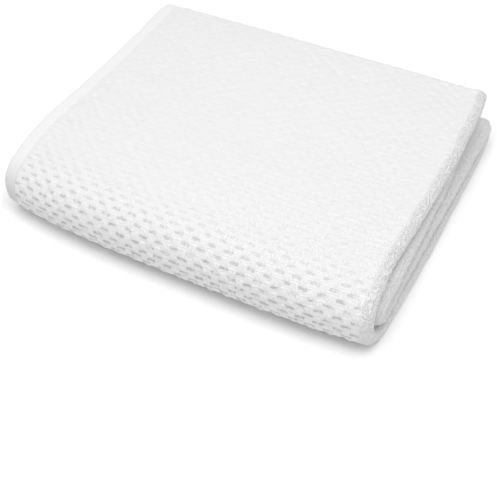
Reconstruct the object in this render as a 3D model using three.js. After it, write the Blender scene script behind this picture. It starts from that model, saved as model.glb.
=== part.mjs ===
import * as THREE from 'three';

// A cotton waffle bath towel, folded flat. Millimetres, +Z up. It lies on the plane z = 0,
// with its broad rounded fold at the front (-Y), the fold of its doubled width at the right
// (+X), its long hems at the left (-X) and its short hems at the back (+Y).
// The origin is the middle of the footprint, on the plane it lies on.

// The cloth
const DOUBLED_WIDTH = 381;      // half of the 762 mm wide cloth, from the hems to the side fold
const CLOTH_THICKNESS = 5.4;
const HEM_THICKNESS = 4.2;
const SIDE_HEM = 14;            // width of the turned hems along the two long edges
const END_HEM = 24;             // width of the turned hems at the two short ends
const HEM_STEP = 4;             // over which the hem swells to the full cloth
const HEM_NOSE = 2;             // rounding of a hem's edge

// The folded pile
const FOLDED_DEPTH = 337;
const LAYER_GAP = 2.0;          // between the two layers of the doubled cloth
const PLY_GAP = 3.0;            // between one doubled ply and the next
const PLIES = 4;
const SIDE_FOLD_REACH = 9;      // how far in from the right edge the side fold starts to turn
const WRAP_REACH = 28;          // the front wrap's shoulder, front to back
const WRAP_FULLNESS = 2.5;      // 2 is an ellipse, more is squarer
const WRAP_ROOM = 4;            // between the outer wrap and the wrap nested in it
const LOWER_END_INSET = 4;      // how far the short ends stop before the back fold
const MIDDLE_END_INSET = 10;

// Heights worked out from the layers
const HALF_PLY = CLOTH_THICKNESS + LAYER_GAP / 2;
const PLY_PITCH = 2 * HALF_PLY + PLY_GAP;
const PILE_HEIGHT = PLIES * PLY_PITCH - PLY_GAP;
const PLY_Z = [3, 2, 1, 0].map((below) => HALF_PLY + below * PLY_PITCH);
const TIGHT_FOLD = PLY_PITCH / 2;
const LAYER_CENTRE = (LAYER_GAP + CLOTH_THICKNESS) / 2;

// Depths worked out from the wraps, measured from the front
const WRAP_Y = HALF_PLY + WRAP_REACH;
const NESTED_Y = 3 * HALF_PLY + WRAP_ROOM + TIGHT_FOLD;
const BACK_FOLD_Y = FOLDED_DEPTH - HALF_PLY - TIGHT_FOLD;

// Where the edges of the doubled cloth run, from the lower short end to the upper one:
// drift moves the whole width to the right, the lips draw each layer's hem in at the left.
const EDGE_LINES = [
  { along: 0.00, drift: 15.0, outerLip: 0.0, innerLip: 3.0 },
  { along: 0.12, drift: 13.5, outerLip: 1.0, innerLip: 2.0 },
  { along: 0.22, drift: 8.0, outerLip: -1.5, innerLip: 2.5 },
  { along: 0.26, drift: 1.5, outerLip: 0.5, innerLip: 3.5 },
  { along: 0.31, drift: -2.4, outerLip: 0.8, innerLip: 3.0 },
  { along: 0.37, drift: 1.9, outerLip: -1.9, innerLip: 1.5 },
  { along: 0.43, drift: 4.6, outerLip: -3.3, innerLip: 1.0 },
  { along: 0.48, drift: 4.8, outerLip: -3.6, innerLip: 0.5 },
  { along: 0.525, drift: 0.5, outerLip: 0.0, innerLip: 1.5 },
  { along: 0.55, drift: -1.0, outerLip: 0.5, innerLip: 2.5 },
  { along: 0.63, drift: 2.5, outerLip: 2.0, innerLip: 0.5 },
  { along: 0.76, drift: 5.0, outerLip: 3.5, innerLip: 1.0 },
  { along: 0.87, drift: 11.0, outerLip: 1.0, innerLip: 2.5 },
  { along: 1.00, drift: 16.0, outerLip: 0.0, innerLip: 2.0 },
];

// Soft swells of the top, seen from above: middle, reach each way, and rise.
const SWELLS = [
  { x: 20, y: 78, reachX: 250, reachY: 58, rise: 3.6 },
  { x: -70, y: 190, reachX: 120, reachY: 60, rise: -1.2 },
  { x: -110, y: 290, reachX: 90, reachY: 38, rise: 1.4 },
  { x: 120, y: 250, reachX: 100, reachY: 55, rise: 1.0 },
  { x: 190, y: 170, reachX: 30, reachY: 200, rise: -0.9 },
  { x: -190, y: 12, reachX: 60, reachY: 46, rise: -6.5 },
  { x: 192, y: 8, reachX: 45, reachY: 40, rise: -3.0 },
];

// How the front draws back towards its two ends, and the back edge's slant
const LEFT_DRAW = 13;
const LEFT_DRAW_POWER = 3;
const RIGHT_DRAW = 8;
const RIGHT_DRAW_POWER = 4.4;
const BACK_SLANT = 4;

// Steps of the mesh
const FLAT_STEPS = 8;
const SIDE_FOLD_STEPS = 6;
const RUN_STEPS = 7;
const WRAP_STEPS = 12;
const TIGHT_STEPS = 6;

// A smooth curve through the rows of a table, read at a place along it.
function tableValue(rows, key, along) {
  const last = rows.length - 1;
  let i = 0;
  while (i < last - 1 && along > rows[i + 1].along) {
    i += 1;
  }
  const slope = (k) => {
    const a = rows[Math.max(k - 1, 0)];
    const b = rows[Math.min(k + 1, last)];
    return (b[key] - a[key]) / (b.along - a.along);
  };
  const span = rows[i + 1].along - rows[i].along;
  const t = THREE.MathUtils.clamp((along - rows[i].along) / span, 0, 1);
  const t2 = t * t;
  const t3 = t2 * t;
  return (2 * t3 - 3 * t2 + 1) * rows[i][key]
    + (t3 - 2 * t2 + t) * span * slope(i)
    + (3 * t2 - 2 * t3) * rows[i + 1][key]
    + (t3 - t2) * span * slope(i + 1);
}

// A flat run of the ply's middle line. face is +1 where the cloth's outer face looks up.
function run(fromY, toY, z, face) {
  return {
    steps: RUN_STEPS,
    at: (t) => ({ y: fromY + (toY - fromY) * t, z, normalY: 0, normalZ: face }),
  };
}

// A half turn of the ply's middle line round (y, z). side is -1 where it bulges to the front,
// start is +1 where it begins at the top, and face is -1 where the outer face looks inwards.
function bend({ y, z, reach, rise, power, side, start, face, steps }) {
  return {
    steps,
    at: (t) => {
      const turn = Math.PI * t;
      const across = Math.max(Math.sin(turn), 0);
      const up = Math.cos(turn);
      const u = reach * across ** (2 / power);
      const v = rise * Math.sign(up) * Math.abs(up) ** (2 / power);
      const slopeU = Math.abs(u) ** (power - 1) / reach ** power;
      const slopeV = Math.sign(v) * Math.abs(v) ** (power - 1) / rise ** power;
      const size = Math.hypot(slopeU, slopeV);
      return {
        y: y + side * u,
        z: z + start * v,
        normalY: face * side * slopeU / size,
        normalZ: face * start * slopeV / size,
      };
    },
  };
}

// The middle line of the doubled cloth, from the short end at the bottom of the back,
// round the front, over the top, round the back fold, into the nested wrap and out again.
function foldSpans() {
  const [topZ, secondZ, thirdZ, bottomZ] = PLY_Z;
  return [
    run(FOLDED_DEPTH - LOWER_END_INSET, WRAP_Y, bottomZ, -1),
    bend({
      y: WRAP_Y, z: (topZ + bottomZ) / 2, reach: WRAP_REACH, rise: (topZ - bottomZ) / 2,
      power: WRAP_FULLNESS, side: -1, start: -1, face: 1, steps: WRAP_STEPS,
    }),
    run(WRAP_Y, BACK_FOLD_Y, topZ, 1),
    bend({
      y: BACK_FOLD_Y, z: (topZ + secondZ) / 2, reach: TIGHT_FOLD, rise: TIGHT_FOLD,
      power: 2, side: 1, start: 1, face: 1, steps: TIGHT_STEPS,
    }),
    run(BACK_FOLD_Y, NESTED_Y, secondZ, -1),
    bend({
      y: NESTED_Y, z: (secondZ + thirdZ) / 2, reach: TIGHT_FOLD, rise: TIGHT_FOLD,
      power: 2, side: -1, start: 1, face: -1, steps: TIGHT_STEPS,
    }),
    run(NESTED_Y, FOLDED_DEPTH - MIDDLE_END_INSET, thirdZ, 1),
  ];
}

// Stations along the middle line, closer together in the hems of the two short ends,
// each with its distance from the first end.
function foldStations() {
  const spans = foldSpans();
  const stations = [];
  const hemPlaces = [0, HEM_NOSE * 0.4, HEM_NOSE, END_HEM, END_HEM + HEM_STEP];
  spans.forEach((span, index) => {
    const first = index === 0;
    const last = index === spans.length - 1;
    const length = Math.abs(span.at(1).y - span.at(0).y);
    const places = [];
    for (let i = 0; i <= span.steps; i += 1) {
      places.push(i / span.steps);
    }
    let kept = places;
    if (first) {
      const hem = hemPlaces.map((d) => d / length);
      kept = [...hem, ...places.filter((t) => t > hem[hem.length - 1] + 0.03)];
    }
    if (last) {
      const hem = hemPlaces.map((d) => 1 - d / length).reverse();
      kept = [...places.filter((t) => t < hem[0] - 0.03), ...hem];
    }
    kept.forEach((t) => {
      if (index === 0 || t > 0) {
        stations.push(span.at(t));
      }
    });
  });
  let travelled = 0;
  stations.forEach((station, i) => {
    if (i > 0) {
      const before = stations[i - 1];
      travelled += Math.hypot(station.y - before.y, station.z - before.z);
    }
    station.distance = travelled;
  });
  stations.forEach((station) => {
    station.fromEnd = Math.min(station.distance, travelled - station.distance);
    station.along = station.distance / travelled;
  });
  return stations;
}

// Half the thickness of one layer at a distance from its hem's edge.
function layerHalf(fromEdge, hem) {
  if (fromEdge < HEM_NOSE) {
    const t = 1 - fromEdge / HEM_NOSE;
    return HEM_THICKNESS / 2 * Math.sqrt(1 - t * t);
  }
  const swell = THREE.MathUtils.smoothstep(fromEdge, hem, hem + HEM_STEP);
  return THREE.MathUtils.lerp(HEM_THICKNESS, CLOTH_THICKNESS, swell) / 2;
}

// The doubled cloth's section at a station: two chains of points, outer and inner, that both
// run from one layer's hem edge round the side fold to the other layer's hem edge.
function section(station) {
  const drift = tableValue(EDGE_LINES, 'drift', station.along);
  const endHalf = station.fromEnd < HEM_NOSE * 0.2
    ? layerHalf(HEM_NOSE * 0.12, END_HEM)
    : layerHalf(station.fromEnd, END_HEM);
  const rightX = DOUBLED_WIDTH / 2 + drift;
  const foldX = rightX - SIDE_FOLD_REACH;
  const hemPlaces = [0, HEM_NOSE * 0.4, HEM_NOSE, SIDE_HEM, SIDE_HEM + HEM_STEP];
  const outer = [];
  const inner = [];
  const flatPart = (side, lip) => {
    const leftX = -DOUBLED_WIDTH / 2 + drift + lip;
    const places = [...hemPlaces];
    const startOfFlat = places[places.length - 1];
    const flat = foldX - leftX - startOfFlat;
    for (let i = 1; i < FLAT_STEPS; i += 1) {
      places.push(startOfFlat + flat * i / FLAT_STEPS);
    }
    return places.map((d) => {
      const half = Math.min(layerHalf(d, SIDE_HEM), endHalf);
      return {
        outer: { x: leftX + d, n: side * (LAYER_CENTRE + half) },
        inner: { x: leftX + d, n: side * (LAYER_CENTRE - half) },
      };
    });
  };
  const upper = flatPart(1, tableValue(EDGE_LINES, 'outerLip', station.along));
  const lower = flatPart(-1, tableValue(EDGE_LINES, 'innerLip', station.along));
  upper.forEach((pair) => {
    outer.push(pair.outer);
    inner.push(pair.inner);
  });
  for (let i = 0; i <= SIDE_FOLD_STEPS; i += 1) {
    const turn = Math.PI * (0.5 - i / SIDE_FOLD_STEPS);
    const cos = Math.cos(turn);
    const sin = Math.sin(turn);
    outer.push({
      x: foldX + (SIDE_FOLD_REACH - CLOTH_THICKNESS / 2 + endHalf) * cos,
      n: (LAYER_CENTRE + endHalf) * sin,
    });
    inner.push({
      x: foldX + (SIDE_FOLD_REACH - CLOTH_THICKNESS / 2 - endHalf) * cos,
      n: (LAYER_CENTRE - endHalf) * sin,
    });
  }
  lower.reverse().forEach((pair) => {
    outer.push(pair.outer);
    inner.push(pair.inner);
  });
  return { outer, inner };
}

// The rise of the pile's top over its even height, seen from above.
function swellAt(x, y) {
  return SWELLS.reduce((sum, swell) => {
    const dx = (x - swell.x) / swell.reachX;
    const dy = (y - swell.y) / swell.reachY;
    return sum + swell.rise * Math.exp(-dx * dx - dy * dy);
  }, 0);
}

// How far the front draws back at a place across the width.
function drawAt(x) {
  const u = THREE.MathUtils.clamp(2 * x / DOUBLED_WIDTH, -1.1, 1.1);
  return u < 0 ? LEFT_DRAW * (-u) ** LEFT_DRAW_POWER : RIGHT_DRAW * u ** RIGHT_DRAW_POWER;
}

// From the even pile to the soft one. The underside stays flat on z = 0.
function soften(x, y, z) {
  const back = y / FOLDED_DEPTH;
  return new THREE.Vector3(
    x,
    y + drawAt(x) * (1 - back) + BACK_SLANT * (x / DOUBLED_WIDTH) * back,
    z * (1 + swellAt(x, y) / PILE_HEIGHT),
  );
}

// One closed body: rings of the section at every station, and a cap at each short end.
function towelGeometry() {
  const positions = [];
  const faces = [];
  const rings = foldStations().map((station) => {
    const { outer, inner } = section(station);
    const place = (point) => {
      const p = soften(
        point.x,
        station.y + point.n * station.normalY,
        station.z + point.n * station.normalZ,
      );
      positions.push(p.x, p.y, p.z);
      return positions.length / 3 - 1;
    };
    const outerIds = outer.map(place);
    const innerIds = inner.slice(1, -1).map(place);
    innerIds.unshift(outerIds[0]);
    innerIds.push(outerIds[outerIds.length - 1]);
    return { outerIds, innerIds };
  });
  const quad = (a, b, c, d) => {
    faces.push(a, b, c, a, c, d);
  };
  for (let r = 1; r < rings.length; r += 1) {
    const here = rings[r - 1];
    const next = rings[r];
    for (let i = 1; i < here.outerIds.length; i += 1) {
      quad(here.outerIds[i - 1], here.outerIds[i], next.outerIds[i], next.outerIds[i - 1]);
      quad(here.innerIds[i], here.innerIds[i - 1], next.innerIds[i - 1], next.innerIds[i]);
    }
  }
  const cap = ({ outerIds, innerIds }, flip) => {
    for (let i = 1; i < outerIds.length; i += 1) {
      const corners = [outerIds[i - 1], innerIds[i - 1], innerIds[i], outerIds[i]];
      const loop = corners.filter((id, k) => corners.indexOf(id) === k);
      if (flip) {
        loop.reverse();
      }
      for (let k = 2; k < loop.length; k += 1) {
        faces.push(loop[0], loop[k - 1], loop[k]);
      }
    }
  };
  cap(rings[0], false);
  cap(rings[rings.length - 1], true);
  const geometry = new THREE.BufferGeometry();
  geometry.setAttribute('position', new THREE.Float32BufferAttribute(positions, 3));
  geometry.setIndex(faces);
  return geometry;
}

// Moves the finished cloth so that the middle of its footprint is the origin.
function centreFootprint(geometry) {
  geometry.computeBoundingBox();
  const middle = geometry.boundingBox.getCenter(new THREE.Vector3());
  geometry.translate(-middle.x, -middle.y, 0);
  geometry.computeVertexNormals();
  return geometry;
}

const cotton = new THREE.MeshStandardMaterial({
  color: new THREE.Color(0.93, 0.93, 0.92),
  roughness: 0.95,
  metalness: 0,
});

const towel = new THREE.Mesh(centreFootprint(towelGeometry()), cotton);
towel.name = 'towel';

const foldedTowel = new THREE.Group();
foldedTowel.add(towel);

export default foldedTowel;
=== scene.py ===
"""A white waffle bath towel, folded flat, on a pale floor.

Metres, +Z up. The broad rounded fold is at the front (-Y), the fold of the doubled width at the
right (+X), the long hems at the left (-X) and the short hems at the back (+Y).
"""

import math
from collections import namedtuple

import bpy
import numpy as np
from bpy.props import FloatProperty, FloatVectorProperty, IntProperty, PointerProperty
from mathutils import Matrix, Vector


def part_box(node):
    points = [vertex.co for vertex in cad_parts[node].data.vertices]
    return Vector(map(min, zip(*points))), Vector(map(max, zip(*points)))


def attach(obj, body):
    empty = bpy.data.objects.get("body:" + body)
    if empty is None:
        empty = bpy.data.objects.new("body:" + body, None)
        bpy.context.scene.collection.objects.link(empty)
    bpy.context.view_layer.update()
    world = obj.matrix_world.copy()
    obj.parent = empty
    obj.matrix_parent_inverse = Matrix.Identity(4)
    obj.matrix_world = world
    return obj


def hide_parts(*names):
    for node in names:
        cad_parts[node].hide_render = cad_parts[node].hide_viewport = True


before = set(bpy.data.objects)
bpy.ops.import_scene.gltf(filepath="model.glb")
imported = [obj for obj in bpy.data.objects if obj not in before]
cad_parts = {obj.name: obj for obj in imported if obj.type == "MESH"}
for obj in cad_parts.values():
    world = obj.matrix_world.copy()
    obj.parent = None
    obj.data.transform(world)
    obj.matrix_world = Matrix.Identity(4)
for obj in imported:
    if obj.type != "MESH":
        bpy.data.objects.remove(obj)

bl_info = {
    "name": "Folded Waffle Bath Towel",
    "version": (1, 0, 0),
    "blender": (4, 5, 0),
    "location": "3D View > Sidebar > Towel",
    "description": "Builds a folded waffle bath towel with its hems, stitching and stage",
    "category": "Object",
}

MM = 0.001
CAD_LOW, CAD_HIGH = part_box("towel")

# Where the edges of the doubled cloth run, from the lower short end to the upper one, in
# millimetres: drift moves the whole width to the right, the lips draw a layer's hem in.
EdgeLine = namedtuple("EdgeLine", "along drift outer_lip inner_lip")
EDGE_LINES = [EdgeLine(*row) for row in (
    (0.00, 16.5, 0.0, 3.0), (0.12, 13.5, 1.0, 2.0), (0.22, 8.0, -1.5, 2.5),
    (0.26, 1.5, 0.5, 3.5), (0.31, -2.4, 0.8, 3.0), (0.37, 1.9, -1.9, 1.5),
    (0.43, 4.6, -3.3, 1.0), (0.48, 4.8, -3.6, 0.5), (0.505, 3.2, -2.4, 1.0),
    (0.525, 0.5, 4.0, 3.0), (0.55, -1.0, 2.0, 2.5), (0.63, 5.0, 2.0, 0.5),
    (0.76, 5.5, 3.5, 1.0), (0.87, 10.0, 1.0, 2.5), (1.00, 17.0, 0.0, 2.0),
)]

# Soft swells and troughs of the top, in millimetres from the middle of the front: the first
# seven shape the pile, the rest are its slighter dents and rises.
Swell = namedtuple("Swell", "x y reach_x reach_y rise")
SWELLS = [Swell(*row) for row in (
    (20, 78, 250, 58, 3.6), (-70, 190, 120, 60, -1.2), (-110, 290, 90, 38, 1.4),
    (120, 250, 100, 55, 1.0), (190, 170, 30, 200, -0.9), (-190, 12, 60, 46, -6.5),
    (192, 8, 45, 40, -3.0), (-63, 303, 24, 52, 0.6), (-117, 258, 34, 36, -0.7),
    (34, 272, 42, 34, -0.7), (163, 296, 44, 40, -1.4), (-10, 128, 60, 26, 0.5),
    (96, 120, 40, 30, -0.4),
)]

# Slow waves by which the rims and hem edges stray: distance to a radian, phase and share
STRAY_WAVES = (6.1 * MM, 1, 0.30), (10.3 * MM, 2.3, 0.32), (19.7 * MM, 4.1, 0.38)
RIM_PHASE, OUTER_HEM_PHASE, INNER_HEM_PHASE = 1, 2, 3

# How the front draws back towards its two ends, and the back edge's slant
LEFT_DRAW, LEFT_DRAW_POWER = 13 * MM, 3
RIGHT_DRAW, RIGHT_DRAW_POWER = 8 * MM, 4.4
DRAW_LIMIT = 1.1        # of half the width, past which the draw grows no more
BACK_SLANT = 4 * MM

PLIES = 4               # of doubled cloth, as FoldLine lays them
FOLD_STEPS = 241        # points of the middle line round a fold
HEM_STEP = 4 * MM       # over which a hem swells to the full cloth
HEM_NOSE = 2 * MM       # rounding of a hem's edge
END_BLUNTNESS = 0.12    # share of that rounding that a short end lacks
GROOVE_DEPTH = 0.28 * MM    # of the groove that the stitches lie in
GROOVE_REACH = 1.1 * MM     # to either side of them
NESTED_FULLNESS = 1.7   # the nested fold's reach to the front, as a share of its half height
NESTED_SQUARENESS = 4   # 2 is an ellipse, more is squarer
END_ROUNDING = 5 * MM   # how far the side fold draws in at a short end
END_REACH = 14 * MM     # and over how much of its length
PUFF_REACH = 16 * MM    # how far in from the side fold its rim swells
TOP_PUFF_LOSS = 0.2     # share of that swelling that the top ply lacks
TOP_PLY_STARTS = 0.24, 0.28     # in shares of the middle line's length
TOP_PLY_STOPS = 0.52, 0.55

TILES_IN_FOLD = 2       # waffle tiles round the side fold
ACROSS_SOFTNESS = 0.7   # of the step from a raised tile to the hollow beside it
ALONG_SOFTNESS = 0.1    # and to the hollow before or after it, which is steep
TOP_SHARE = 0.55        # how much of the waffle's relief is left where the cloth lies flat
FACES_FRONT = 0.95      # how far the cloth faces the front where all of it shows
RIM_SHARE = 0.45        # how much of it is left on the side folds
NEAR_RIM = 2.9, 2       # tiles before the side fold where that share starts and is reached
PAST_RIM = 0.6, 1.8     # tiles past the side fold where the relief starts to fade and is gone
ACROSS_STRAY = 5 * MM   # how unevenly yarns and creases lie across the cloth
ALONG_STRAY = 4 * MM    # and along it
PLACE = "cloth_place"   # across, along and how much waffle, kept at each point

# Where points lie within a tile: close to both its edges, so that its step is steep
SPLITS = {"under": np.array([0.12, 0.88]), "shown": np.array([0.06, 0.35, 0.65, 0.94]),
          "hidden": np.array([0.08, 0.5, 0.92])}

# Where points lie across a hem, and further in where a layer is hidden
HEM_POINTS = np.array([0, 0.5, 1.2, 2, 5, 8.5, 10.4, 11.2, 12, 12.8, 14]) * MM
FEWER_HEM_POINTS = HEM_POINTS[[0, 1, 3, 5, 8, 10]]
FEWEST_HEM_POINTS = HEM_POINTS[[0, 1, 3, 4, 10]]
HIDDEN_POINTS = np.array([18, 45, 90, 180, 290, 335]) * MM
END_HEM_POINTS = np.array([0, 0.8, 2, 8, 16, 21, 22, 23]) * MM
INNER_FOLD_POINTS = np.array([0.25, 0.5, 0.75])     # shares of the side fold
HIDDEN_TILES = 3        # beside the side fold, that have points on a hidden ply
PAST_FOLD_POINTS = 5    # half a tile apart, on the inner layer past the side fold
SHOWN_BELOW = 36 * MM   # of the lowest ply before the front, with all its points
SHOWN_BEHIND = 16 * MM  # and of the cloth past the back fold
FADING_ROWS = 2, 0.5    # rows before that where the relief starts to fade and is gone
CENTRING_RINGS = 400    # rings that the footprint's middle is taken from
FEWEST_FACES = 1000     # fewer mean that a piece wasn't made


def millimetres(name, description, default, least=0):
    """A property for a length. Both numbers are in millimetres."""
    return FloatProperty(name=name, description=description, default=default * MM,
                         min=least * MM, unit="LENGTH")


def colour(name, description, value):
    """A property for a colour."""
    return FloatVectorProperty(name=name, description=description, subtype="COLOR", default=value,
                               min=0, max=1, size=3)


class ClothSizes(bpy.types.PropertyGroup):
    """The cloth and the way it is folded."""

    doubled_width: millimetres("Doubled Width", "From the long hems to the side fold", 381, 100)
    folded_depth: millimetres("Folded Depth", "From the front of the pile to its back", 337, 100)
    cloth_thickness: millimetres("Cloth Thickness", "Thickness of one layer of waffle", 5.4, 1)
    hem_thickness: millimetres("Hem Thickness", "Thickness of a turned and stitched hem", 4.2, 1)
    side_hem: millimetres("Side Hem", "Width of the hems along the two long edges", 14, 4)
    end_hem: millimetres("End Hem", "Width of the hems at the two short ends", 24, 4)
    layer_gap: millimetres("Layer Gap", "Between the two layers of the doubled cloth", 2, 0.5)
    ply_gap: millimetres("Ply Gap", "Between one doubled ply and the next", 3, 0.5)
    side_fold_reach: millimetres("Side Fold Reach", "How far in from the edge the side fold turns", 9, 4)
    rim_puff: millimetres("Rim Puff", "How much the side fold swells each way", 1.35)
    fold_squareness: FloatProperty(
        name="Fold Squareness", description="2 is an ellipse, more is squarer, below the top ply",
        default=2.6, min=2, max=4)
    wrap_reach: millimetres("Front Reach", "The front wrap's shoulder, front to back", 28, 5)
    wrap_fullness: FloatProperty(
        name="Front Fullness", description="2 is an ellipse, more is squarer",
        default=2.5, min=1.5, max=5)
    wrap_room: millimetres("Wrap Room", "Between the outer wrap and the one nested in it", 2.5, 1)
    lower_end_inset: millimetres("Lower End Inset", "How far the lower end stops before the back", 4)
    middle_end_inset: millimetres("Middle End Inset", "How far the middle end stops before the back", 10)
    wander: millimetres("Wander", "How much the rims and hem edges stray", 0.5)


class WaffleSizes(bpy.types.PropertyGroup):
    """The waffle weave: raised tiles and hollows in a chequer."""

    tile_width: millimetres("Tile Width", "Across the cloth, taken to the nearest whole number", 8.14, 2)
    row_height: millimetres("Row Height", "Along the cloth, taken to the nearest whole number", 6.55, 2)
    raised: millimetres("Raised", "Rise of a tile over the middle of the cloth's face", 1.0)
    sunk: millimetres("Sunk", "Depth of a hollow under the middle of the cloth's face", 0.9)
    straying: millimetres("Straying", "How far the tiles stray from their even places", 2.4)
    unevenness: FloatProperty(
        name="Unevenness", description="How much the tiles differ in fullness",
        default=1.8, min=0, max=3)
    lumps: millimetres("Lumps", "Height of the lumps smaller than a tile", 0.8)
    yarn_height: millimetres("Yarn Height", "Rise of the single yarns in the tiles and hollows", 0.45)
    seed: IntProperty(name="Seed", description="Another unevenness", default=4, min=0)


class StitchSizes(bpy.types.PropertyGroup):
    """The rows of stitches that hold the hems."""

    pitch: millimetres("Pitch", "From one stitch to the next", 3.2, 1)
    length: millimetres("Length", "Length of one stitch", 2.5, 0.5)
    thread: millimetres("Thread", "Thickness of the sewing thread", 0.45, 0.1)
    inset: millimetres("Inset", "From the hem's inner edge to the row", 2)


class FinishColours(bpy.types.PropertyGroup):
    """Colours of the cotton, of the shade painted into it and of the thread."""

    cotton: colour("Cotton", "Colour of the raised yarns", (0.80, 0.80, 0.80))
    # Painted shade: the colour that the cotton goes to in the hollows, on the rims and at the hems
    painted_shade: colour("Painted Shade", "Colour deep beside the raised tiles", (0.5, 0.5, 0.51))
    thread: colour("Thread", "Colour of the sewing thread", (0.84, 0.84, 0.84))


class StageSettings(bpy.types.PropertyGroup):
    """Floor, light and camera."""

    floor_colour: colour("Floor", "Colour of the floor", (0.95, 0.95, 0.95))
    sky: FloatProperty(
        name="Sky", description="Strength of the even light from all round",
        default=0.69, min=0)
    key_power: FloatProperty(
        name="Key Light", description="Power of the large soft light overhead",
        default=9.8, min=0, subtype="POWER", unit="POWER")
    lens: FloatProperty(
        name="Lens", description="Focal length of the camera, in millimetres",
        default=61.57, min=10)


# The fold


def table_value(rows, key, along):
    """A smooth curve through one column of a table, read at places along it."""
    at = np.array([row.along for row in rows])
    value = np.array([getattr(row, key) for row in rows])
    slope = np.gradient(value)
    slope[1:-1] = (value[2:] - value[:-2]) / (at[2:] - at[:-2])
    slope[[0, -1]] = ((value[1] - value[0]) / (at[1] - at[0]),
                      (value[-1] - value[-2]) / (at[-1] - at[-2]))
    i = np.clip(np.searchsorted(at, along, side="right") - 1, 0, len(rows) - 2)
    span = at[i + 1] - at[i]
    t = np.clip((along - at[i]) / span, 0, 1)
    return ((2 * t ** 3 - 3 * t ** 2 + 1) * value[i] + (t ** 3 - 2 * t ** 2 + t) * span * slope[i]
            + (3 * t ** 2 - 2 * t ** 3) * value[i + 1] + (t ** 3 - t ** 2) * span * slope[i + 1])


def ease(value, low, high):
    """0 before low, 1 after high, and smooth between them."""
    t = np.clip((np.asarray(value, float) - low) / (high - low), 0, 1)
    return t * t * (3 - 2 * t)


def run(from_y, to_y, z, face):
    """A flat run of the ply's middle line: y, z and the outer face's direction."""
    return np.array([(from_y, z, 0, face), (to_y, z, 0, face)], float)


def bend(y, z, reach, rise, power, side, start, face):
    """A half turn of the middle line round (y, z). side is -1 where it bulges to the front,
    start +1 where it begins at the top, and face -1 where the outer face looks inwards."""
    turn = np.linspace(0, math.pi, FOLD_STEPS)
    u = reach * np.maximum(np.sin(turn), 0) ** (2 / power)
    v = rise * np.sign(np.cos(turn)) * np.abs(np.cos(turn)) ** (2 / power)
    slope_u = np.abs(u) ** (power - 1) / reach ** power
    slope_v = np.sign(v) * np.abs(v) ** (power - 1) / rise ** power
    size = np.hypot(slope_u, slope_v)
    return np.stack([y + side * u, z + start * v, face * side * slope_u / size,
                     face * start * slope_v / size], 1)


class FoldLine:
    """The middle line of the doubled cloth, from the short end at the bottom of the back, round
    the front, over the top, round the back fold, into the nested wrap and out again."""

    def __init__(self, cloth):
        half_ply = cloth.cloth_thickness + cloth.layer_gap / 2
        pitch = 2 * half_ply + cloth.ply_gap
        top, second, third, bottom = (half_ply + below * pitch for below in range(PLIES - 1, -1, -1))
        tight = pitch / 2
        wrap_y = half_ply + cloth.wrap_reach
        nested_reach = NESTED_FULLNESS * tight
        nested_y = 3 * half_ply + cloth.wrap_room + nested_reach
        back_y = cloth.folded_depth - half_ply - tight
        spans = (
            run(cloth.folded_depth - cloth.lower_end_inset, wrap_y, bottom, -1),
            bend(wrap_y, (top + bottom) / 2, cloth.wrap_reach, (top - bottom) / 2,
                 cloth.wrap_fullness, side=-1, start=-1, face=1),
            run(wrap_y, back_y, top, 1),
            bend(back_y, (top + second) / 2, tight, tight, 2, side=1, start=1, face=1),
            run(back_y, nested_y, second, -1),
            bend(nested_y, (second + third) / 2, nested_reach, tight, NESTED_SQUARENESS,
                 side=-1, start=1, face=-1),
            run(nested_y, cloth.folded_depth - cloth.middle_end_inset, third, 1),
        )
        rows = np.concatenate([spans[0]] + [span[1:] for span in spans[1:]])
        steps = np.hypot(*np.diff(rows[:, :2], axis=0).T)
        self.distance = np.concatenate([[0], np.cumsum(steps)])
        self.rows = rows
        self.length = self.distance[-1]
        ends = np.cumsum([len(span) - 1 for span in spans])
        self.span_ends = self.distance[ends]
        turned = np.unwrap(np.arctan2(rows[:, 3], rows[:, 2]))
        self.layer_centre = (cloth.layer_gap + cloth.cloth_thickness) / 2
        self.outer_along = self.distance - self.layer_centre * (turned - turned[0])
        self.outer_length = self.outer_along[-1]
        self.pile_height = PLIES * pitch - cloth.ply_gap

    def at(self, distance):
        """y, z and the outer face's direction at a distance along the line."""
        y, z, ny, nz = (np.interp(distance, self.distance, column) for column in self.rows.T)
        size = math.hypot(ny, nz)
        return y, z, ny / size, nz / size

    def distance_at(self, outer_along):
        """The distance along the middle line under a place along the outer layer."""
        return np.interp(outer_along, self.outer_along, self.distance)

    def outer_at(self, distance):
        """The place along the outer layer over a distance along the middle line."""
        return float(np.interp(distance, self.distance, self.outer_along))


def soften(cloth, pile_height, x, y, z):
    """From the even pile to the soft one. The underside stays flat on z = 0."""
    u = np.clip(2 * x / cloth.doubled_width, -DRAW_LIMIT, DRAW_LIMIT)
    draw = np.where(u < 0, LEFT_DRAW * np.abs(u) ** LEFT_DRAW_POWER,
                    RIGHT_DRAW * np.abs(u) ** RIGHT_DRAW_POWER)
    back = y / cloth.folded_depth
    rise = sum(s.rise * MM * np.exp(-((x / MM - s.x) / s.reach_x) ** 2
                                    - ((y / MM - s.y) / s.reach_y) ** 2) for s in SWELLS)
    moved_y = y + draw * (1 - back) + BACK_SLANT * (x / cloth.doubled_width) * back
    return np.stack([x, moved_y, z * (1 + rise / pile_height)], -1)


def stray(distance, phase):
    """A slow uneven wave, from -1 to 1, along the cloth."""
    return sum(math.sin(distance / size + turn * phase) * share
               for size, turn, share in STRAY_WAVES)


def layer_half(cloth, from_edge, hem, groove):
    """Half the thickness of a layer at a distance from a hem's edge, with the stitches' groove."""
    nose = np.sqrt(np.clip(1 - (1 - np.minimum(from_edge / HEM_NOSE, 1)) ** 2, 0, 1))
    body = cloth.hem_thickness + ease(from_edge, hem, hem + HEM_STEP) * (
        cloth.cloth_thickness - cloth.hem_thickness)
    dip = GROOVE_DEPTH * np.exp(-((from_edge - hem + groove) / GROOVE_REACH) ** 2)
    return nose * body / 2 - dip


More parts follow.
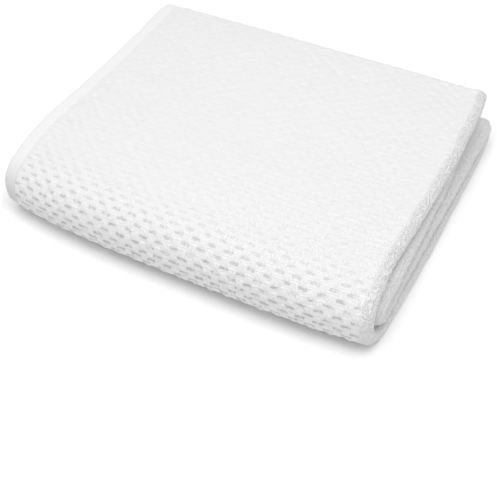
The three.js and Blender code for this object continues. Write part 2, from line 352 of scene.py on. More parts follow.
class FoldedCloth:
    """Gives the place of any point of the doubled cloth. across runs from one long hem's edge
    over the outer layer, round the side fold and back over the inner layer to the other."""

    def __init__(self, cloth, waffle, stitches):
        self.cloth, self.line, self.groove = cloth, FoldLine(cloth), stitches.inset
        self.flat = cloth.doubled_width - cloth.side_fold_reach
        self.tiles = round((self.flat - cloth.side_hem) / waffle.tile_width)
        self.tile = (self.flat - cloth.side_hem) / self.tiles
        self.fold = TILES_IN_FOLD * self.tile
        self.width = 2 * self.flat + self.fold
        woven = self.line.outer_length - 2 * cloth.end_hem
        self.rows = round(woven / waffle.row_height)
        self.row = woven / self.rows
        self.shift = Vector((0, 0))

    def points(self, along, across, side):
        """Points of the outer (+1) or inner (-1) face at one place along, and their normals."""
        cloth = self.cloth
        distance = self.line.distance_at(along)
        y, z, ny, nz = self.line.at(distance)
        share = distance / self.line.length
        drift, outer_lip, inner_lip = (
            table_value(EDGE_LINES, key, share) * MM for key in ("drift", "outer_lip", "inner_lip"))
        from_end = min(along, self.line.outer_length - along)
        drawn_in = END_ROUNDING * (1 - min(from_end / END_REACH, 1)) ** 2
        fold_x = (cloth.doubled_width / 2 + drift - cloth.side_fold_reach - drawn_in
                  + cloth.wander * stray(distance, RIM_PHASE))
        left = -cloth.doubled_width / 2 + drift
        outer_x = left + outer_lip + cloth.wander * stray(distance, OUTER_HEM_PHASE)
        inner_x = left + inner_lip + cloth.wander * stray(distance, INNER_HEM_PHASE)
        turn = math.pi * (0.5 - np.clip((across - self.flat) / self.fold, 0, 1))
        top_ply = ease(share, *TOP_PLY_STARTS) * (1 - ease(share, *TOP_PLY_STOPS))
        power = cloth.fold_squareness + (2 - cloth.fold_squareness) * top_ply
        reach = cloth.side_fold_reach - cloth.cloth_thickness / 2
        cos, sin = np.cos(turn), np.sin(turn)
        out = np.maximum(cos, 0) ** (2 / power)
        up = np.sign(sin) * np.abs(sin) ** (2 / power)
        facing = np.stack([out ** (power - 1) / reach,
                           np.sign(up) * np.abs(up) ** (power - 1) / self.line.layer_centre])
        cos, sin = facing / np.hypot(*facing)
        from_side = np.minimum(across, self.width - across)
        hem_x = np.where(across < self.width / 2, outer_x, inner_x)
        x = hem_x + np.minimum(from_side / self.flat, 1) * (fold_x - hem_x)
        x = x + reach * out
        puff = cloth.rim_puff * (1 - TOP_PUFF_LOSS * top_ply)
        puff = puff * ease(from_side, self.flat - PUFF_REACH, self.flat)
        half = np.minimum(
            layer_half(cloth, from_side, cloth.side_hem, self.groove),
            layer_half(cloth, max(from_end, END_BLUNTNESS * HEM_NOSE), cloth.end_hem,
                       self.groove))
        n = (self.line.layer_centre + puff) * up + side * half * sin
        x = x + side * half * cos
        normal = side * np.stack([cos, sin * ny, sin * nz], -1)
        place = soften(cloth, self.line.pile_height, x, y + n * ny, z + n * nz)
        return place + np.array((*self.shift, 0)), normal

    def waffle_share(self, along, across, fine):
        """1 where the waffle is modelled, 0 on the hems and on what the folds hide."""
        cloth = self.cloth
        from_side = np.minimum(across, self.width - across)
        from_end = min(along, self.line.outer_length - along)
        share = ease(from_side, cloth.side_hem, cloth.side_hem + HEM_STEP) * ease(
            from_end, cloth.end_hem, cloth.end_hem + HEM_STEP)
        past_rim = (self.flat + self.fold + tiles * self.tile for tiles in PAST_RIM)
        share = share * (1 - ease(across, *past_rim))
        rim = ease(across, self.flat - self.tile, self.flat)
        facing_front = -self.line.at(self.line.distance_at(along))[2]
        fine = fine * (TOP_SHARE + (1 - TOP_SHARE) * ease(facing_front, 0, FACES_FRONT))
        near_rim = ease(across, *(self.flat - tiles * self.tile for tiles in NEAR_RIM))
        return share * (np.maximum(fine, RIM_SHARE * near_rim) * (1 - rim) + RIM_SHARE * rim)


def tile_places(count, kind):
    """Places within a number of tiles, counted in tiles."""
    return (np.arange(count)[:, None] + SPLITS[kind]).ravel()


def places_across(folded, kind):
    """Places across the cloth for a ring of points: finer where its outer layer shows."""
    flat, fold, tile, width = folded.flat, folded.fold, folded.tile, folded.width
    if kind == "inner":
        one = np.concatenate([FEWEST_HEM_POINTS, HIDDEN_POINTS, [flat]])
        return np.concatenate([one, flat + fold * INNER_FOLD_POINTS, width - one[::-1]])
    hidden = kind == "hidden"
    shown_tiles = HIDDEN_TILES if hidden else folded.tiles
    woven = flat - tile * shown_tiles + tile * tile_places(shown_tiles, kind)
    rim = flat + tile * tile_places(TILES_IN_FOLD, "shown" if kind == "shown" else "hidden")
    outer_edge = FEWER_HEM_POINTS if hidden else HEM_POINTS[:-1]
    lead = HIDDEN_POINTS[:-1] if hidden else []
    back = flat + fold + tile * np.arange(PAST_FOLD_POINTS) / 2
    return np.concatenate([outer_edge, lead, woven, rim, back, width - HIDDEN_POINTS[-2::-1],
                           width - FEWER_HEM_POINTS[::-1]])


def rings_along(folded):
    """Places along the cloth, each with the kind of ring and how much of its waffle shows."""
    line, cloth, row = folded.line, folded.cloth, folded.row
    wrap_starts, back_fold_ends = line.span_ends[0], line.span_ends[3]
    shown_from = line.outer_at(wrap_starts - SHOWN_BELOW)
    shown_to = line.outer_at(back_fold_ends + SHOWN_BEHIND)
    first = round((shown_from - cloth.end_hem) / row)
    last = round((shown_to - cloth.end_hem) / row)
    rings = [(d, "under", 1) for d in END_HEM_POINTS]
    for number in range(folded.rows):
        kind = "under" if number < first else "shown" if number < last else "hidden"
        for at in number + SPLITS[kind]:
            fine = 1 - float(ease(at, *(last - rows for rows in FADING_ROWS)))
            rings.append((cloth.end_hem + row * at, kind, fine))
    rings += [(line.outer_length - d, "hidden", 0) for d in END_HEM_POINTS[::-1]]
    return rings


def zip_chains(a_at, a_ids, b_at, b_ids):
    """Triangles between two chains of points that run the same way."""
    faces, i, j = [], 0, 0
    while i < len(a_ids) - 1 or j < len(b_ids) - 1:
        step_a = j == len(b_ids) - 1 or (i < len(a_ids) - 1 and a_at[i + 1] <= b_at[j + 1])
        if step_a:
            face = (a_ids[i], a_ids[i + 1], b_ids[j])
            i += 1
        else:
            face = (a_ids[i], b_ids[j + 1], b_ids[j])
            j += 1
        if len(set(face)) == 3:
            faces.append(face)
    return faces


def join_chains(a_at, a_ids, b_at, b_ids):
    """Faces between two chains: four-sided where their points match, else triangles."""
    if len(a_at) == len(b_at) and np.allclose(a_at, b_at):
        return np.stack([a_ids[:-1], a_ids[1:], b_ids[1:], b_ids[:-1]], 1).tolist()
    return zip_chains(a_at, a_ids, b_at, b_ids)


def cloth_mesh(folded):
    """The closed mesh of the whole folded cloth, smooth, with its place on the cloth at each
    point and a UV map in metres along the cloth."""
    kinds = {kind: places_across(folded, kind) for kind in ("inner", "under", "shown", "hidden")}
    points, places, faces, rings, count = [], [], [], [], 0
    for along, kind, fine in rings_along(folded):
        outer_at, inner_at = kinds[kind], kinds["inner"]
        outer_ids = np.arange(count, count + len(outer_at))
        new_ids = np.arange(len(inner_at) - 2) + count + len(outer_at)
        count += len(outer_at) + len(new_ids)
        share = folded.waffle_share(along, outer_at, fine)
        for side, at, much in ((1, outer_at, share), (-1, inner_at[1:-1], np.zeros(len(new_ids)))):
            points.append(folded.points(along, at, side)[0])
            places.append(np.stack([at, np.full(len(at), along), much], 1))
        inner_ids = np.concatenate([outer_ids[:1], new_ids, outer_ids[-1:]])
        rings.append((outer_at, outer_ids, inner_at, inner_ids))
    for here, after in zip(rings, rings[1:]):
        faces += join_chains(here[0], here[1], after[0], after[1])
        faces += [face[::-1] for face in join_chains(here[2], here[3], after[2], after[3])]
    faces += [face[::-1] for face in zip_chains(*rings[0])]
    faces += zip_chains(*rings[-1])
    points, places = np.concatenate(points), np.concatenate(places)
    mesh = bpy.data.meshes.new("towel_cloth")
    mesh.from_pydata(points.tolist(), [], faces)
    corner = np.empty(len(mesh.loops), np.int32)
    mesh.loops.foreach_get("vertex_index", corner)
    mesh.uv_layers.new(name="cloth").data.foreach_set("uv", places[corner, :2].ravel())
    mesh.attributes.new(PLACE, "FLOAT_VECTOR", "POINT").data.foreach_set("vector", places.ravel())
    mesh.shade_smooth()
    mesh.update()
    return mesh


# Nodes


class Wiring:
    """Adds nodes to a tree and links them."""

    def __init__(self, tree):
        self.tree = tree

    def node(self, kind, inputs=None, **settings):
        made = self.tree.nodes.new(kind)
        for name, value in settings.items():
            setattr(made, name, value)
        for key, value in (inputs or {}).items():
            if isinstance(value, bpy.types.NodeSocket):
                self.tree.links.new(value, made.inputs[key])
            else:
                made.inputs[key].default_value = value
        return made

    def math(self, operation, *values):
        return self.node("ShaderNodeMath", dict(enumerate(values)), operation=operation).outputs[0]

    def add(self, first, *others):
        for other in others:
            first = self.math("ADD", first, other)
        return first

    def times(self, first, *others):
        for other in others:
            first = self.math("MULTIPLY", first, other)
        return first

    def minus(self, first, other):
        return self.math("SUBTRACT", first, other)

    def over(self, first, other):
        return self.math("DIVIDE", first, other)

    def between(self, value, low, high):
        """0 at low and before it, 1 at high and past it, smooth between them."""
        ramp = self.node("ShaderNodeMapRange", {"Value": value, "From Min": low, "From Max": high},
                         interpolation_type="SMOOTHSTEP")
        return ramp.outputs[0]

    def mix(self, share, low, high):
        """low where share is 0, high where it is 1."""
        return self.add(self.times(low, self.minus(1.0, share)), self.times(high, share))

    def noise(self, spot, scale, detail, output="Fac"):
        inputs = {"Vector": spot, "Scale": scale, "Detail": detail}
        return self.node("ShaderNodeTexNoise", inputs).outputs[output]

    def vector(self, x=0.0, y=0.0, z=0.0):
        return self.node("ShaderNodeCombineXYZ", {0: x, 1: y, 2: z}).outputs[0]

    def split(self, vector):
        return self.node("ShaderNodeSeparateXYZ", {0: vector}).outputs

    def vectors(self, operation, first, other):
        made = self.node("ShaderNodeVectorMath", {0: first, 1: other}, operation=operation)
        return made.outputs[0]

    def scaled(self, vector, scale):
        made = self.node("ShaderNodeVectorMath", {0: vector, "Scale": scale}, operation="SCALE")
        return made.outputs[0]


WAFFLE_INPUTS = "Side Hem", "End Hem", "Tile Width", "Row Height"
RELIEF_INPUTS = "Raised", "Sunk", "Straying", "Unevenness", "Lumps", "Seed"
MIDDLE = 0.5            # of a noise, which runs from 0 to 1

# The relief: cells of noise to a metre, and the parts of a tile's fullness
STRAY_SCALE, FULLNESS_SCALE, LUMP_SCALE = 30.0, 95.0, 190.0
LEAST_FULLNESS, PILLOW = 0.4, 0.6

# Stitches: each a bead, flatter than it is wide and sunk a little
BEAD_SEGMENTS, BEAD_RINGS, BEAD_RADIUS = 6, 5, 0.5
BEAD_FLATNESS = 0.8
BEAD_SUNK = 0.25        # of the thread's thickness
LONG_ROW_STEPS, SHORT_ROW_STEPS = 1400, 500
LONG_ROW_INSET, SHORT_ROW_INSET = 4 * MM, 5 * MM    # where a row stops before the cloth's edge


def new_tree(name, kind, *sockets):
    """A node tree, its wiring and its inputs, from the way, type and names of its sockets."""
    tree = bpy.data.node_groups.new(name, kind)
    for in_out, socket_type, names in sockets:
        for socket in names:
            tree.interface.new_socket(name=socket, in_out=in_out,
                                      socket_type="NodeSocket" + socket_type)
    wires = Wiring(tree)
    return tree, wires, wires.node("NodeGroupInput").outputs


def geometry_tree(name, *numbers):
    """A geometry node tree that takes a mesh, named numbers and a material."""
    return new_tree(name, "GeometryNodeTree", ("INPUT", "Geometry", ["Geometry"]),
                    ("INPUT", "Float", numbers), ("INPUT", "Material", ["Material"]),
                    ("OUTPUT", "Geometry", ["Geometry"]))


def wire_waffle(wires, across, along, given):
    """For either kind of tree: the place in tiles and in rows; the chequer, which is 1 on the
    raised tiles and -1 in the hollows, with a step between; and 1 in a tile's middle, else less."""
    cells, steps, waves = [], [], []
    for place, start, size, softness in ((across, "Side Hem", "Tile Width", ACROSS_SOFTNESS),
                                         (along, "End Hem", "Row Height", ALONG_SOFTNESS)):
        cell = wires.over(wires.minus(place, given[start]), given[size])
        wave = wires.math("SINE", wires.times(cell, math.pi))
        square = wires.add(wires.times(wave, wave), softness ** 2)
        step = wires.times(wave, wires.math("INVERSE_SQRT", square))
        cells.append(cell)
        steps.append(wires.times(step, math.sqrt(1 + softness ** 2)))
        waves.append(wires.math("ABSOLUTE", wave))
    return (*cells, wires.times(*steps), wires.times(*waves))


def wire_stored(wires):
    """What the mesh keeps at each point under the name of its place on the cloth."""
    return wires.node("GeometryNodeInputNamedAttribute", {"Name": PLACE},
                      data_type="FLOAT_VECTOR").outputs[0]


def wire_end(wires, shaped, given):
    """The last nodes of a geometry tree: nothing sinks into the floor, and it has its material."""
    whole = wires.node("GeometryNodeRealizeInstances", {"Geometry": shaped.outputs[0]})
    x, y, z = wires.split(wires.node("GeometryNodeInputPosition").outputs[0])
    lying = wires.node("GeometryNodeSetPosition", {
        "Geometry": whole.outputs[0],
        "Position": wires.vector(x, y, wires.math("MAXIMUM", z, 0.0))})
    covered = wires.node("GeometryNodeSetMaterial",
                         {"Geometry": lying.outputs[0], "Material": given["Material"]})
    wires.node("NodeGroupOutput", {0: covered.outputs[0]})


def waffle_relief_tree():
    """Geometry nodes that raise and sink the waffle's tiles and keep the cloth over the floor."""
    tree, wires, given = geometry_tree("Waffle Relief", *WAFFLE_INPUTS, *RELIEF_INPUTS)
    across, along, share = wires.split(wire_stored(wires))
    _, _, chequer, middle = wire_waffle(wires, across, along, given)
    spot = wires.vector(across, along, given["Seed"])
    raised = wires.math("GREATER_THAN", chequer, 0.0)
    step = wires.minus(given["Raised"], given["Sunk"])
    depth = wires.add(given["Sunk"], wires.times(raised, step))
    uneven = wires.minus(wires.noise(spot, FULLNESS_SCALE, 0.0), MIDDLE)
    full = wires.add(LEAST_FULLNESS, wires.times(uneven, given["Unevenness"]))
    full = wires.add(full, wires.times(middle, PILLOW))
    lumps = wires.times(wires.minus(wires.noise(spot, LUMP_SCALE, 0.0), MIDDLE), given["Lumps"])
    height = wires.times(wires.add(wires.times(chequer, depth, full), lumps), share)
    normal = wires.node("GeometryNodeInputNormal").outputs["Normal"]
    slow = wires.noise(spot, STRAY_SCALE, 1.0, "Color")
    astray = wires.vectors("SUBTRACT", slow, (MIDDLE,) * 3)
    astray = wires.scaled(astray, wires.times(given["Straying"], 2.0))
    astray = wires.scaled(astray, share)
    astray = wires.vectors("SUBTRACT", astray, wires.vectors("PROJECT", astray, normal))
    offset = wires.vectors("ADD", wires.scaled(normal, height), astray)
    moved = wires.node("GeometryNodeSetPosition",
                       {"Geometry": given["Geometry"], "Offset": offset})
    wire_end(wires, moved, given)
    return tree


def stitch_row_tree():
    """Geometry nodes that lay stitches at an even pitch along the edges of a mesh. Each lies
    along its row, with its flat side on the cloth, whose normal the mesh keeps."""
    tree, wires, given = geometry_tree("Stitch Rows", "Pitch", "Length", "Thread")
    curve = wires.node("GeometryNodeMeshToCurve", {"Mesh": given["Geometry"]})
    even = wires.node("GeometryNodeResampleCurve",
                      {"Curve": curve.outputs[0], "Length": given["Pitch"]}, mode="LENGTH")
    tangent = wires.node("GeometryNodeInputTangent").outputs[0]
    turned = wires.node("FunctionNodeAlignRotationToVector", {"Vector": tangent}, axis="X")
    turned = wires.node("FunctionNodeAlignRotationToVector",
                        {"Rotation": turned.outputs[0], "Vector": wire_stored(wires)},
                        axis="Z", pivot_axis="X")
    bead = wires.node("GeometryNodeMeshUVSphere", {
        "Segments": BEAD_SEGMENTS, "Rings": BEAD_RINGS, "Radius": BEAD_RADIUS})
    bead = wires.node("GeometryNodeSetShadeSmooth", {"Geometry": bead.outputs["Mesh"]})
    size = wires.vector(given["Length"], given["Thread"],
                        wires.times(given["Thread"], BEAD_FLATNESS))
    laid = wires.node("GeometryNodeInstanceOnPoints", {
        "Points": even.outputs[0], "Instance": bead.outputs[0],
        "Rotation": turned.outputs[0], "Scale": size})
    wire_end(wires, laid, given)
    return tree


def new_object(name, data):
    """An object in the scene."""
    made = bpy.data.objects.new(name, data)
    bpy.context.scene.collection.objects.link(made)
    return made


def finish_with_nodes(name, mesh, tree, values):
    """A plain mesh object made by a geometry node tree from a mesh and named values."""
    source = new_object(name + "_source", mesh)
    modifier = source.modifiers.new("Nodes", "NODES")
    modifier.node_group = tree
    for item in tree.interface.items_tree:
        if item.item_type == "SOCKET" and item.in_out == "INPUT" and item.name in values:
            modifier[item.identifier] = values[item.name]
    bpy.context.view_layer.update()
    evaluated = source.evaluated_get(bpy.context.evaluated_depsgraph_get())
    plain = bpy.data.meshes.new_from_object(evaluated)
    if len(plain.polygons) < FEWEST_FACES:
        raise RuntimeError(name + " has no faces")
    plain.name = name
    source.modifiers.remove(modifier)
    bpy.data.objects.remove(source)
    return new_object(name, plain)


# Ramps along the cloth, in shares of the outer layer's length from its lower end: 0 at the
# first place and 1 at the second
FRONT_ON = 0.215, 0.235
LOW_FRONT = 0.274, 0.252        # 1 below, 0 above
TOP_ON, TOP_OFF = (0.25, 0.28), (0.55, 0.52)
SHOULDER_OFF = 0.3, 0.25        # where the painted shade on a hem's face ends
FRONT_SHADE_OFF = 0.315, 0.265      # where the painted shade in the front's hollows ends
# The back fold's ramps place painted shade in its hollows
BACK_FOLD_ON, BACK_FOLD_OFF = (0.521, 0.537), (0.57, 0.55)
MIDDLE_OF_TOP = 0.4             # past it a row's upper end is its start

# Ramps across the cloth and its waffle
HEM_OFF = 0.0, 2 * MM           # past a hem's inner edge
RIM_ON = 10.5 * MM, 7 * MM      # from the middle of the side fold
# Where the painted shade along a long hem's rounded edge starts and is full
NOSE_ON = 2.2 * MM, 0.4 * MM    # from a long hem's edge
RAISED_ON = -0.3, 0.3           # of the chequer
HOLLOW_ON = 0.6, -0.15          # of the chequer
# Where in a row the painted shade under the raised tile above starts and is full
UPPER_SHADE_RAMP, LOWER_SHADE_RAMP = (0.45, 0.95), (0.1, 0.7)   # of a row, on the front's two parts

# Noises: size across and along the cloth, and the ramps through them
THREAD_NOISE, BLOTCH_NOISE, FUZZ_NOISE = (1.6 * MM, 4 * MM), (4 * MM, 6 * MM), (1.3 * MM, 1.3 * MM)
ACROSS_NOISE, ALONG_NOISE = 2.6 * MM, 3.1 * MM
# The specks' ramp places the painted shade between the rims' yarns, the blotches' ramp makes the painted
# shade in the hollows uneven
STROKES_ON, SPECK_SHADE_ON, BLOTCHES_ON = (0.38, 0.6), (0.46, 0.36), (0.28, 0.62)
YARN_DETAIL, FUZZ_DETAIL = 2.0, 3.0

# Yarns: how many to a tile or row, how round, and how far they stand out
YARNS_IN_ROW, YARNS_IN_TILE, YARN_ROUNDNESS = 3, 4, 0.6
PLAIN_ACROSS, PLAIN_ALONG, PLAIN_ROUNDNESS = 2.1 * MM, 1.7 * MM, 0.8
PLAIN_RISE, FUZZ_RISE, STROKE_RISE, TOP_STROKE_RISE = 0.4, 1.2, 1.3, 1.5

# How dark: painted shade in the hollows everywhere and on the front's upper and lower part,
# between the yarns of the lower rims and of the top one and at the long hems' edges; the hems'
# faces a little darker elsewhere, and with painted shade low on the front
FAINT_PAINTED_SHADE, UPPER_FRONT_SHADE, LOWER_FRONT_SHADE = 0.09, 0.95, 1.6
RIM_SPECK_SHADE, TOP_RIM_SPECK_SHADE = 0.25, 0.16
NOSE_SHADE, HEM_DARKNESS, FRONT_HEM_SHADE = 0.45, 0.05, 0.7


def yarn_group():
    """Shader nodes for the single yarns and the painted shade. The yarns float along the cloth on
    the raised tiles and across it in the hollows, lie in a fine plain weave on the hems and are
    ruffled round the side fold. The painted shade is dark dashes in the hollows of the front and
    of the back fold, at the upper end of each, where the raised tile above shades it. Shade is 1
    on the rims below the top ply, which are painted as shaded by it."""
    tree, wires, given = new_tree(
        "Waffle Yarns", "ShaderNodeTree", ("INPUT", "Vector", ["Place"]),
        ("INPUT", "Float", [*WAFFLE_INPUTS, "Width", "Length", "Fold Middle", "Yarn Height"]),
        ("OUTPUT", "Float", ["Height", "Painted Shade", "Shade"]))
    across, along, _ = wires.split(given["Place"])
    between, times, mix = wires.between, wires.times, wires.mix

    def yarns(cell, number, power):
        wave = wires.math("SINE", times(cell, math.pi * number))
        return wires.math("POWER", wires.math("ABSOLUTE", wave), power)

    def noise(size_across, size_along, detail=YARN_DETAIL):
        spot = wires.vector(wires.over(across, size_across), wires.over(along, size_along))
        return wires.noise(spot, 1.0, detail)

    def uneven(way, size, reach):
        return wires.add(way, times(reach, wires.minus(noise(size, size), MIDDLE)))

    cell_x, cell_y, chequer, _ = wire_waffle(wires, uneven(across, ACROSS_NOISE, ACROSS_STRAY),
                                             uneven(along, ALONG_NOISE, ALONG_STRAY), given)
    place = wires.over(along, given["Length"])
    on_top = times(between(place, *TOP_ON), between(place, *TOP_OFF))
    low = between(place, *LOW_FRONT)
    front = between(place, *FRONT_ON)
    below_shoulder = times(front, between(place, *SHOULDER_OFF))
    back_fold = times(between(place, *BACK_FOLD_ON), between(place, *BACK_FOLD_OFF))
    from_side = wires.math("MINIMUM", across, wires.minus(given["Width"], across))
    from_end = wires.math("MINIMUM", along, wires.minus(given["Length"], along))
    woven = times(between(wires.minus(from_side, given["Side Hem"]), *HEM_OFF),
                  between(wires.minus(from_end, given["End Hem"]), *HEM_OFF))
    from_fold = wires.math("ABSOLUTE", wires.minus(across, given["Fold Middle"]))
    rim = between(from_fold, *RIM_ON)
    threads = noise(*THREAD_NOISE)

    waffle = mix(between(chequer, *RAISED_ON), yarns(cell_y, YARNS_IN_ROW, YARN_ROUNDNESS),
                 yarns(cell_x, YARNS_IN_TILE, YARN_ROUNDNESS))
    plain = times(yarns(wires.over(across, PLAIN_ACROSS), 1, PLAIN_ROUNDNESS),
                  yarns(wires.over(along, PLAIN_ALONG), 1, PLAIN_ROUNDNESS))
    relief = mix(woven, times(plain, PLAIN_RISE), waffle)
    relief = wires.add(relief, times(noise(*FUZZ_NOISE, FUZZ_DETAIL), FUZZ_RISE))
    standing = wires.add(STROKE_RISE, times(on_top, TOP_STROKE_RISE))
    relief = wires.add(relief, times(between(threads, *STROKES_ON), rim, standing))

    # Painted shade: a dark dash at the upper end of each hollow, where the raised tile above shades it,
    # darkest on the front and the back fold and faint elsewhere
    climb = wires.math("FRACT", cell_y)
    climb = mix(wires.math("GREATER_THAN", place, MIDDLE_OF_TOP), climb, wires.minus(1.0, climb))
    upper_end = between(climb, *(mix(low, *ends) for ends in zip(UPPER_SHADE_RAMP, LOWER_SHADE_RAMP)))
    depth = times(front, between(place, *FRONT_SHADE_OFF), mix(low, UPPER_FRONT_SHADE, LOWER_FRONT_SHADE))
    depth = wires.add(FAINT_PAINTED_SHADE, wires.add(depth, back_fold))
    painted_shade = times(upper_end, between(chequer, *HOLLOW_ON), depth,
                   between(noise(*BLOTCH_NOISE), *BLOTCHES_ON))
    # Painted shade between the ruffled yarns of the rims, darker on the rims below the top ply
    speck_shade = times(rim, between(threads, *SPECK_SHADE_ON), mix(on_top, RIM_SPECK_SHADE, TOP_RIM_SPECK_SHADE))
    # All of the painted shade, with painted shade along the long hems' edges and on the hems low on the
    # front; the hems are a little darker elsewhere
    painted_shade = wires.add(times(painted_shade, times(woven, wires.minus(1.0, rim))), speck_shade,
                       times(between(from_side, *NOSE_ON), NOSE_SHADE),
                       times(wires.minus(1.0, woven),
                             mix(below_shoulder, HEM_DARKNESS, FRONT_HEM_SHADE)))
    wires.node("NodeGroupOutput", {
        "Height": times(relief, given["Yarn Height"]), "Painted Shade": painted_shade,
        "Shade": times(rim, wires.minus(1.0, on_top))})
    return tree


# Materials

SPECULAR, SHEEN_ROUGHNESS = 0.2, 0.6
COTTON_ROUGHNESS, COTTON_SHEEN = 0.92, 0.12
THREAD_ROUGHNESS, THREAD_SHEEN = 0.7, 0.1
FLOOR_ROUGHNESS = 0.9
RIM_SHADE = 0.27        # painted shade on the lower rims, under the top ply: how far they go to its colour
YARN_BUMP = 0.9         # strength of the yarns' bump
TWIST_SCALE, TWIST_RISE = 2600.0, 0.1 * MM      # of the thread's twist


def new_material(name, colour, roughness, sheen):
    """A material with a Principled shader, and the wiring of its nodes."""
    material = bpy.data.materials.new(name)
    material.use_nodes = True
    material.diffuse_color = (*colour, 1)
    wires = Wiring(material.node_tree)
    shader = material.node_tree.nodes["Principled BSDF"]
    for socket, value in (("Base Color", (*colour, 1)), ("Roughness", roughness),
                          ("Specular IOR Level", SPECULAR), ("Sheen Weight", sheen),
                          ("Sheen Roughness", SHEEN_ROUGHNESS)):
        shader.inputs[socket].default_value = value
    return material, wires, shader


def waffle_values(folded):
    """The values that both kinds of waffle node tree take."""
    return dict(zip(WAFFLE_INPUTS, (folded.cloth.side_hem, folded.cloth.end_hem, folded.tile,
                                    folded.row)))


def cotton_material(folded, waffle, colours):
    """White waffle cotton, its yarns following the cloth, with shade painted into its colour."""
    material, wires, shader = new_material("waffle_cotton", colours.cotton, COTTON_ROUGHNESS,
                                           COTTON_SHEEN)
    place = wires.node("ShaderNodeAttribute", attribute_name=PLACE)
    group = wires.node("ShaderNodeGroup", {
        **waffle_values(folded), "Place": place.outputs["Vector"], "Width": folded.width,
        "Length": folded.line.outer_length, "Fold Middle": folded.flat + folded.fold / 2,
        "Yarn Height": waffle.yarn_height}, node_tree=yarn_group())
    # Painted shade: the cotton's colour goes towards the shade colour in the hollows, at the hems and on
    # the rims, more on the rims below the top ply
    share = wires.add(group.outputs["Painted Shade"], wires.times(group.outputs["Shade"], RIM_SHADE))
    painted_shade_mix = wires.node("ShaderNodeMix", {0: share, 6: (*colours.cotton, 1), 7: (*colours.painted_shade, 1)},
                      data_type="RGBA")
    wires.tree.links.new(painted_shade_mix.outputs[2], shader.inputs["Base Color"])
    bump = wires.node("ShaderNodeBump", {"Height": group.outputs["Height"], "Distance": 1.0,
                                         "Strength": YARN_BUMP})
    wires.tree.links.new(bump.outputs[0], shader.inputs["Normal"])
    return material


def thread_material(colours):
    """White sewing thread with its twist."""
    material, wires, shader = new_material("sewing_thread", colours.thread, THREAD_ROUGHNESS,
                                           THREAD_SHEEN)
    twist = wires.noise(wires.node("ShaderNodeTexCoord").outputs["Object"], TWIST_SCALE, 2.0)
    bump = wires.node("ShaderNodeBump", {"Height": twist, "Distance": TWIST_RISE})
    wires.tree.links.new(bump.outputs[0], shader.inputs["Normal"])
    return material


def folded_towel(scene):
    """The folded cloth of the scene's sizes, its footprint centred as the solid's is."""
    folded = FoldedCloth(scene.towel_cloth, scene.towel_waffle, scene.towel_stitches)
    ends = [folded.points(along, places_across(folded, "under"), 1)[0]
            for along in np.linspace(0, folded.line.outer_length, CENTRING_RINGS)]
    every = np.concatenate(ends)[:, :2]
    middle = (every.min(0) + every.max(0)) / 2
    folded.shift = Vector(((CAD_LOW.x + CAD_HIGH.x) / 2 - middle[0],
                           (CAD_LOW.y + CAD_HIGH.y) / 2 - middle[1]))
    return folded


# Operators

# The stage, in metres, the camera's turn in degrees and its sensor's width in millimetres
FLOOR_REACH, FLOOR_GAP = 6.0, 0.3 * MM
LAMP_SIZE, LAMP_PLACE, LAMP_AIM = (1.1, 0.85), (0.08, -0.22, 1.25), (0, 0, 0.03)
CAMERA_PLACE, CAMERA_TURN = (0.2836, -0.5814, 0.6021), (42.314, 0, 26.857)
SENSOR_WIDTH, CLIP_START = 36, 0.01


class TOWEL_OT_cloth(bpy.types.Operator):
    """Build the folded cloth with its waffle and hems"""

    bl_idname = "towel.cloth"
    bl_label = "Folded Cloth"

    def execute(self, context):
        scene = context.scene
        folded = folded_towel(scene)
        waffle = scene.towel_waffle
        values = waffle_values(folded)
        values.update({name: float(getattr(waffle, name.lower())) for name in RELIEF_INPUTS})
        values["Material"] = cotton_material(folded, waffle, scene.towel_colours)
        cloth = finish_with_nodes("towel_cloth", cloth_mesh(folded), waffle_relief_tree(), values)
        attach(cloth, "root")
        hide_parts("towel")
        return {"FINISHED"}


class TOWEL_OT_stitches(bpy.types.Operator):
    """Sew the hems with rows of stitches"""

    bl_idname = "towel.stitches"
    bl_label = "Hem Stitches"

    def execute(self, context):
        scene = context.scene
        sizes = scene.towel_stitches
        folded = folded_towel(scene)
        cloth, length = folded.cloth, folded.line.outer_length
        sunk = BEAD_SUNK * sizes.thread
        side, end = cloth.side_hem - sizes.inset, cloth.end_hem - sizes.inset
        lines = []
        for across in (side, folded.width - side):
            row = [folded.points(along, np.array([across]), 1) for along in np.linspace(
                LONG_ROW_INSET, length - LONG_ROW_INSET, LONG_ROW_STEPS)]
            lines.append([np.concatenate(kind) for kind in zip(*row)])
        short_row = np.linspace(SHORT_ROW_INSET, folded.width - SHORT_ROW_INSET, SHORT_ROW_STEPS)
        lines += [folded.points(along, short_row, 1) for along in (end, length - end)]
        mesh = bpy.data.meshes.new("stitch_lines")
        edges, start = [], 0
        for points, _ in lines:
            edges += [(start + i, start + i + 1) for i in range(len(points) - 1)]
            start += len(points)
        points = np.concatenate([p - n * sunk for p, n in lines])
        mesh.from_pydata(points.tolist(), edges, [])
        normals = mesh.attributes.new(PLACE, "FLOAT_VECTOR", "POINT")
        normals.data.foreach_set("vector", np.concatenate([n for _, n in lines]).ravel())
        stitches = finish_with_nodes("hem_stitches", mesh, stitch_row_tree(), {
            "Pitch": sizes.pitch, "Length": sizes.length, "Thread": sizes.thread,
            "Material": thread_material(scene.towel_colours)})
        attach(stitches, "root")
        return {"FINISHED"}


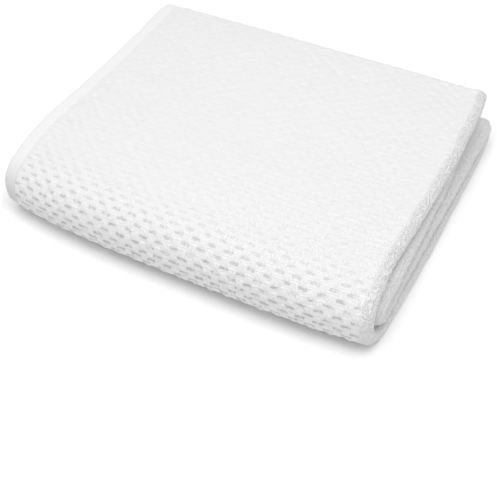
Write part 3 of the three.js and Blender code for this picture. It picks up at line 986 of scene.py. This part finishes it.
class TOWEL_OT_stage(bpy.types.Operator):
    """Lay the pale floor, and set the soft light and the camera"""

    bl_idname = "towel.stage"
    bl_label = "Stage"

    def execute(self, context):
        scene = context.scene
        stage = scene.towel_stage
        mesh = bpy.data.meshes.new("floor")
        corners = ((-1, -1, 0), (1, -1, 0), (1, 1, 0), (-1, 1, 0))
        mesh.from_pydata([FLOOR_REACH * Vector(corner) for corner in corners], [], [(0, 1, 2, 3)])
        material, _, _ = new_material("pale_floor", stage.floor_colour, FLOOR_ROUGHNESS, 0)
        mesh.materials.append(material)
        floor = new_object("floor", mesh)
        floor.location.z = -FLOOR_GAP

        world = bpy.data.worlds.new("studio")
        world.use_nodes = True
        background = world.node_tree.nodes["Background"].inputs
        background["Color"].default_value = (1, 1, 1, 1)
        background["Strength"].default_value = stage.sky
        scene.world = world

        key = bpy.data.lights.new("overhead", "AREA")
        key.shape = "RECTANGLE"
        key.size, key.size_y = LAMP_SIZE
        key.energy = stage.key_power
        lamp = new_object("overhead", key)
        lamp.location = LAMP_PLACE
        aim = Vector(LAMP_AIM) - lamp.location
        lamp.rotation_euler = aim.to_track_quat("-Z", "Y").to_euler()

        lens = bpy.data.cameras.new("camera")
        lens.sensor_fit, lens.sensor_width, lens.lens = "HORIZONTAL", SENSOR_WIDTH, stage.lens
        lens.clip_start = CLIP_START
        camera = new_object("camera", lens)
        camera.location = CAMERA_PLACE
        camera.rotation_euler = [math.radians(angle) for angle in CAMERA_TURN]
        scene.camera = camera
        scene.view_settings.view_transform = "Standard"
        return {"FINISHED"}


class TOWEL_PT_panel(bpy.types.Panel):
    """Sizes, colours and the pieces of the folded towel"""

    bl_idname = "TOWEL_PT_panel"
    bl_label = "Folded Towel"
    bl_space_type = "VIEW_3D"
    bl_region_type = "UI"
    bl_category = "Towel"

    def draw(self, context):
        for key in GROUPS:
            group = getattr(context.scene, key)
            box = self.layout.box()
            box.label(text=key.removeprefix("towel_").title())
            for name in group.__annotations__:
                box.prop(group, name)
        for piece in (TOWEL_OT_cloth, TOWEL_OT_stitches, TOWEL_OT_stage):
            self.layout.operator(piece.bl_idname)


GROUPS = {"towel_cloth": ClothSizes, "towel_waffle": WaffleSizes, "towel_stitches": StitchSizes,
          "towel_colours": FinishColours, "towel_stage": StageSettings}
CLASSES = (*GROUPS.values(), TOWEL_OT_cloth, TOWEL_OT_stitches, TOWEL_OT_stage, TOWEL_PT_panel)


def register():
    for cls in CLASSES:
        bpy.utils.register_class(cls)
    for name, group in GROUPS.items():
        setattr(bpy.types.Scene, name, PointerProperty(type=group))


def unregister():
    for name in GROUPS:
        delattr(bpy.types.Scene, name)
    for cls in reversed(CLASSES):
        bpy.utils.unregister_class(cls)


def main():
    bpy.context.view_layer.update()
    register()
    bpy.ops.towel.cloth()
    bpy.ops.towel.stitches()
    bpy.ops.towel.stage()


if __name__ == "__main__":
    main()
